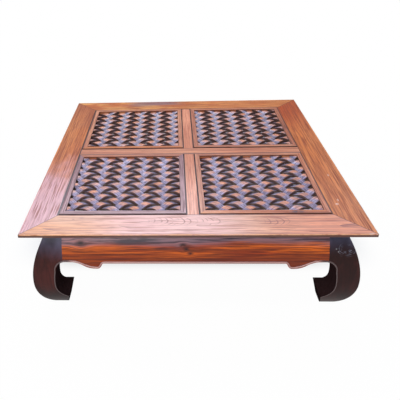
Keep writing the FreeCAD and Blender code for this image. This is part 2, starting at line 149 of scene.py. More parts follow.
class Finish:
    """The nodes of one material, or of the light all round."""

    def __init__(self, owner, place="Object"):
        self.owner = owner
        owner.use_nodes = True
        self.tree = owner.node_tree
        self.tree.nodes.clear()
        self.place = self.node("ShaderNodeTexCoord", {}, {}, place)

    def node(self, kind, settings, inputs, out=0):
        """Adds a node: its settings first, then its sockets' values or links. Gives one output."""
        node = self.tree.nodes.new(kind)
        for key, value in settings.items():
            setattr(node, key, value)
        for key, value in inputs.items():
            if isinstance(value, Wire):
                self.tree.links.new(value.socket, node.inputs[key])
            else:
                node.inputs[key].default_value = value
        return Wire(self, node.outputs[out])

    def stretched(self, vector, scale, shift=(0, 0, 0)):
        return self.node("ShaderNodeMapping", {},
                         {"Vector": vector, "Scale": scale, "Location": shift})

    def split(self, vector):
        node = self.tree.nodes.new("ShaderNodeSeparateXYZ")
        self.tree.links.new(vector.socket, node.inputs[0])
        return [Wire(self, output) for output in node.outputs]

    def noise(self, vector, detail, roughness=0.5, out=0):
        return self.node("ShaderNodeTexNoise", {}, {"Vector": vector, "Scale": 1.0,
                                                    "Detail": detail, "Roughness": roughness}, out)

    def step(self, value, low, high):
        """Rises smoothly from 0 at low to 1 at high, or falls where high is the lower one."""
        if high < low:
            return 1 - self.step(value, high, low)
        return self.node("ShaderNodeMapRange", {"interpolation_type": "SMOOTHSTEP"},
                         {"Value": value, "From Min": low, "From Max": high})

    def blend(self, share, first, second):
        return self.node("ShaderNodeMix", {"data_type": "RGBA"}, {0: share, 6: first, 7: second}, 2)

    def mixed(self, share, first, second):
        """Blends two shaders."""
        return self.node("ShaderNodeMixShader", {}, {0: share, 1: first, 2: second})

    def layered(self, colour, *layers):
        """Lays colours over a first one. Each layer is its share and its colour."""
        for share, over in layers:
            colour = self.blend(share, colour, over)
        return colour

    def seen(self):
        """One for rays that show the thing to the eye, straight, mirrored or through glass."""
        rays = [self.node("ShaderNodeLightPath", {}, {}, name)
                for name in ("Is Camera Ray", "Is Glossy Ray", "Is Transmission Ray")]
        return rays[0].most(rays[1]).most(rays[2])

    def shown(self, shader, kind="ShaderNodeOutputMaterial"):
        """Sends a shader to the surface and gives the finished material."""
        surface = self.tree.nodes.new(kind)
        self.tree.links.new(shader.socket, surface.inputs["Surface"])
        return self.owner

    def oiled(self, colour, roughness, height, relief=0.35, coat=0.3, coat_roughness=0.3,
              gloss=0.5):
        """Wood under oil or thin lacquer, with its grain in relief."""
        bump = self.node("ShaderNodeBump", {}, {"Strength": relief, "Distance": GRAIN_DEPTH,
                                                "Height": height})
        return self.shown(self.node("ShaderNodeBsdfPrincipled", {}, {
            "Base Color": colour, "Roughness": roughness, "Normal": bump, "Coat Weight": coat,
            "Coat Roughness": coat_roughness, "Specular IOR Level": gloss}))


class Wood(Finish):
    """A plank's finish. Its grain runs along X once the plank is turned back by its angle."""

    def __init__(self, name, angle, seed, upright=False):
        super().__init__(bpy.data.materials.new(name))
        spin = (0, QUARTER, 0) if upright else (0, 0, -angle)
        luck = random.Random(seed)
        self.shift = tuple(luck.uniform(3, 40) for _ in range(3))
        self.grain = self.node("ShaderNodeMapping", {}, {"Vector": self.place, "Rotation": spin})
        self.along, self.across, self.deep = self.split(self.grain)
        self.x, self.y, self.z = self.split(self.place)

    def grained(self, stretch, detail, roughness=0.5):
        """Noise drawn out along the grain."""
        return self.noise(self.stretched(self.grain, stretch, self.shift), detail, roughness)

    def mottled(self, stretch, detail, roughness=0.5):
        """Noise that lies the same way on every plank."""
        return self.noise(self.stretched(self.place, stretch), detail, roughness)

    def rings(self, heart, lean, spacing):
        """Growth rings about a leaning heart line. Gives the place inside a ring."""
        slow = self.stretched(self.grain, (1.6, 7, 7), self.shift)
        side_drift, deep_drift, _ = self.split(self.noise(slow, 3.0, out="Color"))
        side = self.across - heart[0] - self.along * lean[0] + (side_drift - 0.5) * RING_WANDER
        deep = self.deep - heart[1] - self.along * lean[1] + (deep_drift - 0.5) * RING_WANDER
        return ((side * side + deep * deep) ** 0.5 / spacing).maths("FRACT")

    def fibres(self, fineness=1.0):
        return self.grained((5 * fineness, 230 * fineness, 230 * fineness), 3.0, 0.6)

    def pores(self):
        return self.step(self.grained((22, 620, 620), 1.0), 0.60, 0.72)

    def clouds(self, stretch=(2.2, 9, 9), add=0.0):
        shift = tuple(part + add for part in self.shift)
        return self.noise(self.stretched(self.grain, stretch, shift), 3.0, 0.55)

    def spot(self, centre, radii, soft=1.0):
        """One at a spot and nought outside its radii. Soft is the share of them that fades."""
        off = self.stretched(self.place, tuple(1 / r for r in radii),
                             tuple(-c / r for c, r in zip(centre, radii)))
        length = self.node("ShaderNodeVectorMath", {"operation": "LENGTH"}, {0: off}, "Value")
        return self.step(length, 1.0, 1.0 - soft)

    def facing(self, kind="True Normal"):
        """Which way the surface looks."""
        return self.split(self.node("ShaderNodeNewGeometry", {}, {}, kind))

    def mark(self, name):
        """A number that was laid down on the mesh."""
        return self.node("ShaderNodeAttribute", {"attribute_name": name}, {}, "Fac")


def board_wood(name, angle, seed, heart, lean, tones, spacing=0.0085, polish=(0.1, 0.1),
               tone=None, wear=None):
    """Oiled hardwood with open grain: growth rings, dark veins, fibres, pores and clouded tone.

    The rings' middle line passes the heart, across and up, and goes aside by lean for each metre.
    The polish is the lacquer's share at the back and at the front of the table."""
    pale, mid, dark, line = tones
    wood = Wood(name, angle, seed)
    inside = wood.rings(heart, lean, spacing)
    late = inside ** 2.5
    sharp = inside ** 12.0
    uneven = wood.grained((1.8, 22, 22), 2.0)
    veins = wood.step(wood.grained((1.6, 66, 66), 4.0, 0.6), 0.50, 0.66)
    streaks = wood.step(wood.grained((6.5, 170, 170), 3.0), 0.52, 0.64)
    fibres = wood.fibres()
    clouds = wood.clouds()
    pores = wood.pores()
    colour = wood.blend(wood.step(clouds, 0.36, 0.66), mid, pale)
    if tone:
        colour = tone(wood, colour)
    colour = wood.layered(colour,
                          (late * wood.step(uneven, 0.34, 0.66) * 0.5, dark),
                          (sharp * wood.step(uneven, 0.42, 0.60) * 0.85, line),
                          (veins * 0.50, dark),
                          (streaks * 0.75, dark),
                          (fibres.above(0.44) * 2.2, dark),
                          (pores * 0.4, line))
    if wear:
        colour = wear(wood, colour)
    rough = (fibres - 0.5) * 0.3 + (clouds - 0.5) * 0.2 + pores * 0.2 + 0.42
    far, near = polish
    coat = wood.step(wood.y, 0.10, -0.50) * (near - far) + far
    coat = coat * (1 - streaks * 0.5) * (1 - veins * 0.2)
    height = fibres * 0.5 - pores * 0.7 - sharp * 0.3
    return wood.oiled(colour, rough, height, coat=coat, gloss=0.22)


def give(node, material):
    """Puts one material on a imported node."""
    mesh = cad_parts[node]
    for place in range(len(mesh.material_slots)):
        mesh.material_slots[place].material = material
    if not mesh.material_slots:
        mesh.data.materials.append(material)


# Woods of the top. Each set of tones is the pale and the middle wood, its dark figure and lines.

ORANGE = (tint(226, 138, 72), tint(206, 112, 50), tint(142, 62, 30), tint(78, 32, 22))
ROSY = (tint(226, 154, 114), tint(202, 124, 88), tint(146, 76, 54), tint(88, 42, 34))
# Painted sheen in part: paler tones for the front member, standing for part of its sheen
PALE = (tint(240, 188, 150), tint(226, 160, 122), tint(170, 102, 82), tint(112, 56, 46))
PINK = (tint(246, 168, 128), tint(232, 144, 106), tint(190, 106, 78), tint(128, 66, 50))
# Painted sheen: lilac tones for the front left panel's frame, standing for the sky's reflection
LILAC = (tint(188, 140, 142), tint(158, 110, 112), tint(110, 70, 72), tint(66, 42, 46))
TAWNY = (tint(238, 158, 112), tint(216, 130, 86), tint(150, 76, 50), tint(88, 42, 30))
RUSTY = (tint(206, 124, 84), tint(172, 94, 62), tint(104, 52, 36), tint(54, 28, 24))

# Painted shadow for the seams between parts, also the dark of the mitre joints
SEAM_SHADOW_AND_GRIME = tint(38, 22, 24)
# Painted shade on the board's edge faces, below the arris
EDGE_FACE_SHADE = tint(58, 28, 24)
# Painted highlight along the outer arris, broken up like wear
ARRIS_HIGHLIGHT = tint(232, 176, 132)
BARE_WOOD = tint(240, 220, 204)

# How far the painted shadow of a panel seam spreads onto a frame member, and over how much it fades
USUAL_SEAM_SHADOW = 0.0036
BROAD_SEAM_SHADOW = {"left": 0.0062, "back": 0.0080}
SEAM_SHADOW_FADE = 0.0024

# Scratches and chips, each with its place and radii
BARE_MARKS = {
    "right": (((0.547, -0.219, BOARD_TOP), (0.004, 0.012, 0.01)),
              ((0.519, -0.424, BOARD_TOP), (0.009, 0.007, 0.01)),
              ((0.530, -0.398, BOARD_TOP), (0.003, 0.012, 0.01))),
    "front": (((0.583, -0.598, BOARD_TOP), (0.020, 0.006, 0.006)),),
}


def edge_shading_and_wear(side):
    """Painted seam shadow, dark mitres, painted shade on the edge faces and a painted highlight on
    the outer arris of a frame member.
    """
    lengthwise = side in ("front", "back")
    sign = -1 if side in ("front", "left") else 1
    seam_end = HALF_BOARD - MEMBER + BROAD_SEAM_SHADOW.get(side, USUAL_SEAM_SHADOW)

    def wear(wood, colour):
        out = (wood.y if lengthwise else wood.x) * sign
        other = wood.x if lengthwise else wood.y
        # Painted shadow along the seam with the panel frame
        seam = wood.step(out, seam_end, seam_end - SEAM_SHADOW_FADE)
        mitre = wood.step(abs(out - abs(other)), 0.0024, 0.0009)
        ragged = wood.mottled((60, 60, 60), 3.0)
        # Painted highlight on the outer arris
        arris = wood.step(out, HALF_BOARD - 0.0035, HALF_BOARD - 0.0012) \
            * wood.step(wood.z, BOARD_TOP - 0.004, BOARD_TOP - 0.002) * wood.step(ragged, 0.3, 0.6)
        # Painted shade on the edge faces below the top
        low = wood.step(wood.z, BOARD_TOP - 0.0012, BOARD_TOP - 0.0040)
        marks = [(wood.spot(place, radii) * wood.step(ragged, 0.3, 0.5) * 0.85, BARE_WOOD)
                 for place, radii in BARE_MARKS.get(side, ())]
        return wood.layered(colour, (low * 0.92, EDGE_FACE_SHADE), (arris * 0.8, ARRIS_HIGHLIGHT), *marks,
                            ((seam + mitre * 0.8).least(1.0) * 0.9, SEAM_SHADOW_AND_GRIME))

    return wear


def left_sheen_and_shade(wood, colour):
    """The left member has a painted lilac sheen at its near end, and painted shade browns it
    towards the back.
    """
    cloudy = wood.clouds((7, 12, 12), 5.0) - 0.5
    return wood.layered(
        colour,
        (wood.step(wood.y + cloudy * 0.5, -0.04, -0.34) * 0.62, tint(236, 192, 210)),
        (wood.step(wood.y + cloudy * 0.6, 0.05, 0.55) * 0.45, tint(150, 96, 76)))


def right_tone_and_shade(wood, colour):
    """The right member is brightest along its outer edge, and painted shade deepens it at its back
    end.
    """
    return wood.layered(colour,
                        (wood.step(wood.x, 0.50, 0.59) * 0.5, tint(246, 160, 96)),
                        (wood.step(wood.y, 0.05, 0.5) * 0.80, tint(176, 62, 8)))


# The front member's flame figures and stains
FLAME_LINE = -0.523             # where their middles lie across the table
FLAMES = ((-0.070, 0.105), (0.060, 0.045), (0.290, 0.060))     # middle along it and reach of each
FLAME_BEND = -38.0
FLAME_STEP = 0.021
STAINS = (((0.262, -0.529, BOARD_TOP), (0.028, 0.0045, 0.01)),
          ((-0.396, -0.503, BOARD_TOP), (0.016, 0.005, 0.01)),
          ((-0.425, -0.512, BOARD_TOP), (0.007, 0.005, 0.01)),
          ((-0.02, -0.575, BOARD_TOP), (0.060, 0.007, 0.01)))


def flame_lines(wood):
    """Thin broken lines that bend round the flame line."""
    aside = wood.y - FLAME_LINE + (wood.mottled((9, 1, 1), 1.0) - 0.5) * 0.02
    bow = wood.x - aside * aside * FLAME_BEND + (wood.mottled((14, 14, 1), 1.0) - 0.5) * 0.03
    return wood.step((bow / FLAME_STEP).from_half(), 0.16, 0.03) \
        * wood.step(wood.mottled((30, 34, 1), 1.0), 0.34, 0.50)


def front_sheen_and_marks(wood, colour):
    """The front member carries a painted sheen, palest left of its middle, with flame figures and
    dark marks.
    """
    cloudy = wood.clouds((3, 14, 14), 9.0)
    lines = flame_lines(wood)
    flames = [(wood.spot((x, FLAME_LINE, BOARD_TOP), (reach, 0.034, 0.01), 0.6) * lines * 0.85,
               tint(134, 72, 64)) for x, reach in FLAMES]
    left_corner = wood.step(wood.x + (cloudy - 0.5) * 0.3, -0.20, -0.50) \
        * wood.step(wood.y, -0.50, -0.57)
    stains = [(wood.spot(place, radii) * wood.step(cloudy, 0.25, 0.5) * 0.6, tint(132, 92, 106))
              for place, radii in STAINS]
    return wood.layered(
        colour,
        (wood.step(wood.x + (cloudy - 0.5) * 0.5, 0.05, 0.45) * 0.75, tint(246, 152, 106)),
        # Painted sheen, pale pink, palest just left of the middle
        (wood.step(abs(wood.x + 0.08), 0.34, 0.10) * 0.6, tint(255, 204, 206)),
        *flames, (left_corner * 0.7, tint(248, 172, 106)), *stains)


def back_tone(wood, colour):
    """The back member is patched with yellow and stained grey-blue outside, left of the middle."""
    cloudy = wood.clouds((5, 22, 22), 3.0)
    patches = wood.step(wood.mottled((9, 26, 1), 2.0), 0.40, 0.56) \
        * (wood.step(wood.x, 0.25, -0.30) * 0.6 + 0.2)
    stain = wood.step(wood.x + (cloudy - 0.5) * 0.3, -0.36, -0.24) \
        * wood.step(wood.x, 0.02, -0.10) \
        * wood.step(wood.y + (cloudy - 0.5) * 0.12, 0.525, 0.570)
    return wood.layered(colour,
                        (patches, tint(252, 180, 100)),
                        (stain * 0.8, tint(124, 108, 118)),
                        (wood.step(cloudy, 0.54, 0.70) * 0.4, tint(158, 84, 54)))


for side, angle, seed, heart, lean, tones, polish, tone in (
        ("front", 0, 11, (-0.550, 0.270), (0.006, 0.026), PALE, (0.6, 0.6), front_sheen_and_marks),
        ("back", 0, 12, (0.44, 0.25), (-0.006, 0.02), ORANGE, (0.1, 0.1), back_tone),
        ("left", QUARTER, 13, (0.40, 0.27), (0.005, 0.012), ORANGE, (0.1, 0.95), left_sheen_and_shade),
        ("right", QUARTER, 14, (-0.44, 0.26), (0.006, 0.010), ORANGE, (0.0, 0.4), right_tone_and_shade)):
    give("top_member_" + side, board_wood(side + "_member_wood", angle, seed, heart, lean, tones,
                                          polish=polish, tone=tone, wear=edge_shading_and_wear(side)))


def seam_shadow(half, along_y):
    """Painted shadow along both edges of a cross rail, broader on the long rail's front edge."""
    def wear(wood, colour):
        seam = wood.step(abs(wood.x if along_y else wood.y), half - 0.0032, half - 0.0012)
        if not along_y:
            seam = seam.most(wood.step(wood.y, 0.0082 - half, 0.0056 - half))
        return wood.blend(seam * 0.9, colour, SEAM_SHADOW_AND_GRIME)

    return wear


def rail_tone(wood, colour):
    """The short rails turn tawny towards the middle of the table."""
    cloudy = wood.clouds((5, 14, 14), 2.0) - 0.5
    middle = wood.step(abs(wood.y + cloudy * 0.3), 0.36, 0.10)
    return wood.blend(middle * 0.6, colour, tint(196, 118, 78))


RAIL_RINGS = 0.0070
give("cross_rail_long", board_wood(
    "long_rail_wood", 0, 21, (0.10, 0.29), (0.004, 0.012), TAWNY, RAIL_RINGS,
    polish=(0.6, 0.6), wear=seam_shadow(LONG_RAIL / 2, False)))
for place, seed in (("front", 22), ("back", 23)):
    give("cross_rail_" + place, board_wood(
        place + "_rail_wood", QUARTER, seed, (-0.09, 0.30), (0.006, 0.02), PINK, RAIL_RINGS,
        polish=(0.3, 0.95), tone=rail_tone, wear=seam_shadow(SHORT_RAIL / 2, True)))

# A burnt patch on the frame of the front right panel, with its place and radii
BURN = ((0.368, -0.474, PANEL_TOP), (0.040, 0.014, 0.02))


def panel_seam_shadow_and_burn(panel, sx, sy):
    """Painted shadow on the outer sides of a panel's frame and round its opening, and a burnt
    patch.
    """
    def wear(wood, colour):
        off_x = abs(wood.x - sx * PANEL_X) - PANEL_HALF_X
        off_y = abs(wood.y - sy * PANEL_Y) - PANEL_HALF_Y
        outer = wood.step(off_x.most(off_y), -0.0036, -0.0014)
        inner = wood.step((off_x + PANEL_FRAME).most(off_y + PANEL_FRAME), 0.0022, 0.0004)
        colour = wood.blend((outer + inner).least(1.0) * 0.8, colour, SEAM_SHADOW_AND_GRIME)
        if panel == "front_right":
            burnt = wood.spot(*BURN) * wood.step(wood.mottled((70, 70, 70), 3.0), 0.40, 0.56)
            colour = wood.blend(burnt * 0.9, colour, tint(52, 44, 60))
        return colour

    return wear


FRAME_RINGS = 0.0055
FRAME_TONES = {("front_left", "front"): LILAC, ("front_left", "left"): LILAC,
               ("front_left", "right"): LILAC, ("front_right", "front"): ORANGE,
               ("front_right", "right"): TAWNY, ("back_right", "right"): RUSTY,
               ("back_left", "front"): ORANGE}
for panel, sx, sy in CORNERS:
    for number, side in enumerate(("front", "right", "back", "left")):
        lengthwise = side in ("front", "back")
        middle = sy * PANEL_Y if lengthwise else -sx * PANEL_X
        give(f"panel_{panel}_frame_{side}", board_wood(
            f"{panel}_{side}_frame_wood", 0 if lengthwise else QUARTER,
            40 + number + 4 * sx + 9 * sy, (middle + 0.06, 0.33), (0.01, 0.015),
            FRAME_TONES.get((panel, side), ROSY), FRAME_RINGS, polish=(0.3, 0.6),
            wear=panel_seam_shadow_and_burn(panel, sx, sy)))


# Woven slats

def slat_span(foot, along):
    """Where a slat's middle line enters and leaves the room inside the panel's grooves."""
    low, high = -math.inf, math.inf
    for place, direction, half in ((foot.x, along.x, SLAT_ROOM_X), (foot.y, along.y, SLAT_ROOM_Y)):
        near, far = sorted(((-half - place) / direction, (half - place) / direction))
        low, high = max(low, near), min(high, far)
    return low, high


def weave(place):
    """One where a slat passes over another and minus one where it passes under the next."""
    return math.cos(math.pi * place / CROSSING_STEP)


def bent_slat(foot, along, across, low, high, top_sign, middle):
    """One slat that bends over and under the ones it crosses, cut to the panel's grooves."""
    slat = bmesh.new()
    runs = math.ceil((high - low) / CROSSING_STEP * SLAT_STEPS)
    bmesh.ops.create_grid(slat, x_segments=runs, y_segments=SLAT_STRIPS, size=0.5)
    side = slat.verts.layers.float.new("slat_side")
    for corner in slat.verts:
        aside = 2 * corner.co.y
        corner[side] = aside
        place = low + (high - low) * (corner.co.x + 0.5)
        wave = top_sign * weave(place)
        lift = wave * (SLAT_RISE + SLAT_FALL) / 2 + (SLAT_RISE - SLAT_FALL) / 2
        height = WEAVE_MIDDLE + SLAT_THICK / 2 + lift - SLAT_CROWN * aside ** 2
        corner.co = foot + along * place + across * (aside * HALF_CROSSING) + UP * height
    for normal, half in ((Vector((1, 0, 0)), SLAT_ROOM_X), (Vector((0, 1, 0)), SLAT_ROOM_Y)):
        for way in (-1, 1):
            bmesh.ops.bisect_plane(slat, geom=slat.verts[:] + slat.edges[:] + slat.faces[:],
                                   dist=SAME_PLACE, plane_co=normal * half * way,
                                   plane_no=normal * way, clear_outer=True)
    below = bmesh.ops.extrude_face_region(slat, geom=slat.faces[:])["geom"]
    level = UP.cross(across)
    for corner in (part for part in below if isinstance(part, bmesh.types.BMVert)):
        place = (corner.co - foot).dot(level) / along.dot(level)
        wave = top_sign * weave(place)
        corner.co.z -= SLAT_THICK + SLAT_SWELL * ((1 + wave) / 2) ** SWELL_FOCUS
    bmesh.ops.recalc_face_normals(slat, faces=slat.faces[:])
    sharp = [edge for edge in slat.edges
             if len(edge.link_faces) == 2 and edge.calc_face_angle() > SHARP_TURN]
    bmesh.ops.bevel(slat, geom=sharp, offset=SLAT_ROUNDING, offset_type="OFFSET", segments=2,
                    profile=0.5, affect="EDGES", material=-1, clamp_overlap=True)
    bmesh.ops.translate(slat, vec=middle, verts=slat.verts[:])
    return slat


def slat_layer(name, middle, along, across, sign, rising_on_top, seed):
    """All the slats of one direction in one panel, as one piece."""
    luck = random.Random(seed)
    joined = bmesh.new()
    most = math.ceil((SLAT_ROOM_X + SLAT_ROOM_Y) / CROSSING_STEP) + 1
    reach = 2 * HALF_CROSSING
    for number in range(-most, most + 1):
        foot = WEAVE_SHIFT + across * (CROSSING_STEP * number)
        low, high = slat_span(foot, along)
        if high - low < SHORTEST_SLAT:
            continue
        top_sign = sign if (number % 2 == 0) == rising_on_top else -sign
        slat = bent_slat(foot, along, across, low - reach, high + reach, top_sign, middle)
        tone = slat.verts.layers.float.new("slat_tone")
        shade = luck.random()
        for corner in slat.verts:
            corner[tone] = shade
        cut = bpy.data.meshes.new("one_slat")
        slat.to_mesh(cut)
        slat.free()
        joined.from_mesh(cut)
        bpy.data.meshes.remove(cut)
    mesh = bpy.data.meshes.new(name)
    joined.to_mesh(mesh)
    joined.free()
    return placed(name, mesh)


def slat_wood(name, angle, seed):
    """Worn slats: rosy on the crests, painted lilac sky reflection elsewhere, painted shadow down
    in the weave, striped, each of its own tone.
    """
    wood = Wood(name, angle, seed)
    tone = wood.mark("slat_tone")
    side = wood.mark("slat_side")
    _, _, facing = wood.facing()
    fibres = wood.fibres(0.8)
    clouds = wood.clouds((9, 40, 40))
    broad = wood.step(wood.grained((7, 190, 190), 2.0), 0.42, 0.68)
    high = wood.step(wood.z, WEAVE_MIDDLE - 0.005, WEAVE_MIDDLE + 0.004)
    crest = wood.step(wood.z + (clouds - 0.5) * 0.003 - WEAVE_MIDDLE, 0.0064, 0.0100)
    back = wood.step(wood.y, -0.16, 0.16)
    stripe = wood.step((side * 1.7 + tone * 5.0 + (clouds - 0.5) * 0.8).from_half(), 0.20, 0.06)
    # Painted reflection: the lilac base stands for the sky's reflection, lighter in the front
    # panels
    colour = wood.layered(
        wood.blend(tone, wood.blend(back, tint(160, 150, 184), tint(126, 108, 134)),
                   wood.blend(back, tint(204, 192, 226), tint(158, 140, 168))),
        (crest, wood.blend(tone, tint(240, 148, 96), tint(226, 164, 148))),
        (broad * 0.35, tint(86, 52, 54)),
        (stripe * (1 - crest * 0.5) * 0.42, tint(72, 58, 78)),
        (wood.step(abs(side), 0.78, 0.96) * 0.35, tint(66, 46, 50)),
        (fibres.above(0.40) * 2.2, tint(78, 46, 48)),
        # Painted shadow down in the weave, blacker in the front panels
        ((1 - high) * 0.9, wood.blend(back, tint(22, 16, 18), tint(86, 62, 55))),
        (wood.step(facing, 0.62, 0.38) * 0.80, tint(88, 62, 42)))
    return wood.oiled(colour, (fibres - 0.5) * 0.3 + 0.40, fibres, 0.4,
                      coat=high * (1 - crest * 0.8) * (0.9 - back * 0.3), coat_roughness=0.22,
                      gloss=0.38)


RISING = Vector((math.cos(SLANT), math.sin(SLANT), 0))
FALLING = Vector((math.cos(SLANT), -math.sin(SLANT), 0))
for number, (panel, sx, sy) in enumerate(CORNERS):
    middle = Vector((sx * PANEL_X, sy * PANEL_Y, 0))
    for layer, along, across, sign, angle in (("rising", RISING, FALLING, 1, SLANT),
                                              ("falling", FALLING, RISING, -1, -SLANT)):
        slats = slat_layer(f"woven_{panel}_{layer}", middle, along, across, sign, sx == sy,
                           60 + 2 * number + sign)
        slats.data.materials.append(
            slat_wood(f"{panel}_{layer}_slat_wood", angle, 80 + 2 * number + sign))
        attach(slats, "root")
        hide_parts(f"panel_{panel}_slats_{layer}")


# Woods of the base

KNOT_PULL = 0.7                 # how far a knot draws the grain together
DARK_LINE = tint(62, 25, 19)

# Knots of the front apron: place along it and up, and size
KNOTS = (((-0.402, 0.297), 0.019), ((-0.038, 0.290), 0.013), ((-0.026, 0.277), 0.012),
         ((-0.012, 0.262), 0.012), ((0.275, 0.325), 0.008))


def apron_wood(name, angle, seed, knots=()):
    """Strongly figured wood, vivid below, greyed above by painted shade under the board's overhang.
    Its grain parts round each knot.
    """
    wood = Wood(name, angle, seed)
    height = wood.z
    for (x, z), size in knots:
        near = wood.spot((x, -HALF_BOARD, z), (size * 3, 1.0, size * 2))
        height = height - (height - z) * near * KNOT_PULL
    figure = wood.node("ShaderNodeCombineXYZ", {}, {0: wood.along, 1: height, 2: wood.across})

    def lines(stretch, low, high, detail=3.0):
        streaky = wood.noise(wood.stretched(figure, stretch, wood.shift), detail, 0.6)
        return wood.step(streaky, low, high)

    fibres = wood.fibres(0.7)
    grey = wood.step(height + (lines((2.2, 20, 20), 0.3, 0.7) - 0.5) * 0.02, 0.276, 0.308)
    grey_lines = lines((5.0, 150, 40), 0.44, 0.60)
    ragged = wood.step(wood.mottled((60, 60, 90), 4.0, 0.6), 0.30, 0.52)
    cores = [(wood.spot((x, -HALF_BOARD, z), (size * 1.5, 1.0, size * 0.8)) * ragged * 0.95,
              tint(34, 22, 26)) for (x, z), size in knots]
    colour = wood.layered(
        wood.blend(lines((2.0, 16, 16), 0.36, 0.62), tint(176, 68, 24), tint(246, 120, 36)),
        (lines((2.6, 84, 20), 0.48, 0.62) * 0.62, tint(112, 40, 18)),
        (lines((5.0, 210, 40), 0.50, 0.62) * 0.72, DARK_LINE),
        (lines((8.0, 330, 60), 0.50, 0.60, 2.0) * 0.55, DARK_LINE),
        (wood.step(height, 0.272, 0.242) * 0.72, tint(100, 32, 14)),
        (fibres.above(0.42) * 1.6, tint(60, 26, 20)),
        # Painted shade under the board's overhang, grey-lilac
        (grey * (0.84 + grey_lines * 0.15),
         wood.blend(grey_lines, tint(128, 108, 122), tint(60, 50, 62))),
        # Painted shadow right under the board
        (wood.step(wood.z, 0.322, 0.338) * 0.75, tint(44, 32, 36)),
        *cores)
    return wood.oiled(colour, (fibres - 0.5) * 0.3 + 0.36, fibres, coat=0.14,
                      coat_roughness=0.24, gloss=0.2)


for side, angle, seed in (("front", 0, 31), ("back", 0, 32),
                          ("left", QUARTER, 34), ("right", QUARTER, 33)):
    knots = KNOTS if side == "front" else ()
    give("apron_" + side, apron_wood(side + "_apron_wood", angle, seed, knots))

# The swirling scuff on the front right leg, with its place and radii, and pale specks in it
SCUFF = ((0.529, -0.585, 0.281), (0.056, 0.05, 0.038))
SWIRLS = 110                    # scratches in a metre
SPECKS = (((0.493, -0.585, 0.277), (0.0045, 0.05, 0.0045)),
          ((0.501, -0.585, 0.268), (0.004, 0.05, 0.004)))


def scuffed(wood, colour, clouds, outward):
    """Fine scratches that swirl about the scuff's middle."""
    x, _, z = SCUFF[0]
    off = (wood.x - x) ** 2.0 + (wood.z - z) * (wood.z - z) * 2.0 + (clouds - 0.5) * 0.0016
    scratch = wood.step((off ** 0.5 * SWIRLS).from_half(), 0.24, 0.07)
    ragged = wood.step(wood.mottled((80, 80, 80), 3.0), 0.42, 0.58)
    specks = [(wood.spot(place, radii), tint(190, 190, 196)) for place, radii in SPECKS]
    return wood.layered(colour, (wood.spot(*SCUFF, 0.7) * scratch * ragged * outward,
                                 tint(150, 160, 182)), *specks)


def leg_wood(name, seed, sx, sy, scuff):
    """Nearly black wood, polished on its outer faces only, with a painted blue sheen at the
    shoulder and painted shade on the inner faces.
    """
    wood = Wood(name, 0, seed, upright=True)
    fibres = wood.fibres(0.7)
    clouds = wood.clouds((3, 10, 10))
    facing_x, facing_y, _ = wood.facing()
    outward = wood.step(facing_x * sx + facing_y * sy, 0.05, 0.5)
    sky_sheen = wood.blend(wood.step(clouds, 0.40, 0.60), tint(60, 64, 84), tint(84, 86, 110))
    colour = wood.layered(
        wood.blend(wood.step(clouds, 0.38, 0.66), tint(42, 18, 17), tint(72, 31, 28)),
        (fibres.above(0.4) * 1.4, tint(20, 11, 11)),
        # Painted sheen: the sky's blue reflection at the shoulder
        (wood.step(wood.z + (clouds - 0.5) * 0.12, 0.235, 0.330) * 0.85, sky_sheen),
        (wood.step(wood.z, 0.150, 0.070) * 0.4, tint(30, 20, 20)),
        # Painted shade on the inner faces
        ((1 - outward) * 0.85, wood.blend(fibres, tint(26, 19, 20), tint(58, 42, 44))))
    if scuff:
        colour = scuffed(wood, colour, clouds, outward)
    return wood.oiled(colour, (fibres - 0.5) * 0.3 + 0.44, fibres, 0.3, coat=outward * 0.34,
                      gloss=0.0)


for seed, (corner, sx, sy) in enumerate(CORNERS, 51):
    give("leg_" + corner, leg_wood(corner + "_leg_wood", seed, sx, sy, corner == "front_right"))


# The bead along the aprons' edges and down the legs' inner curves. Insets are measured in from the
# board's outer edge and heights up from the floor, as a pair.

BULGE = Vector((0.014, 0.140))  # where the legs and aprons come out farthest
SHOULDER_SWEEP = 0.337          # radius of the face above the bulge
FOOT_SWEEP = 0.2145             # radius of the face below it
BEAD = 0.0036                   # radius along an apron
BEAD_SUNK = 0.0008              # how deep the bead's middle lies in the wood
APRON_BEAD = 0.2302             # height under the straight part of an apron

# The bead's run round an apron's cusp, up to the curve of the leg
CUSP = ((0.2750, 0.2292), (0.2705, 0.2250), (0.2672, 0.2185), (0.2635, 0.2130), (0.2570, 0.2103),
        (0.2490, 0.2104), (0.2400, 0.2114), (0.2250, 0.2150), (0.2080, 0.2212), (0.1920, 0.2282),
        (0.1760, 0.2332), (0.1600, 0.2350))

# The arcs down a leg: middle, radius, degrees at both ends, steps, and the share of the bead's
# radius at both ends
LEG_ARCS = (((0.138, 0.1951), 0.0397, 90, 168, 8, 1.0, 0.55),
            ((0.4296, 0.128), 0.3370, 169, 180, 5, 0.55, 0.45),
            ((0.172, 0.128), 0.0793, 181, 238, 8, 0.45, 0.30))


def face_inset(height):
    """How far in the outer face of the legs and aprons lies at one height, and its slope."""
    sweep = SHOULDER_SWEEP if height > BULGE.y else FOOT_SWEEP
    rise = height - BULGE.y
    reach = math.sqrt(sweep ** 2 - rise ** 2)
    return BULGE.x + sweep - reach, rise / reach


def bead_line():
    """Half of a bead, from an apron's middle to the leg's toe: inset, height, share of radius."""
    run = [(inset, APRON_BEAD, 1.0) for inset in (0.600, 0.440, 0.283)]
    run += [(inset, height, 1.0) for inset, height in CUSP]
    for (inset, height), radius, start, end, steps, thick, thin in LEG_ARCS:
        for number in range(steps + 1):
            part = number / steps
            angle = math.radians(start + (end - start) * part)
            run.append((inset + radius * math.cos(angle), height + radius * math.sin(angle),
                        thick + (thin - thick) * part))
    return run


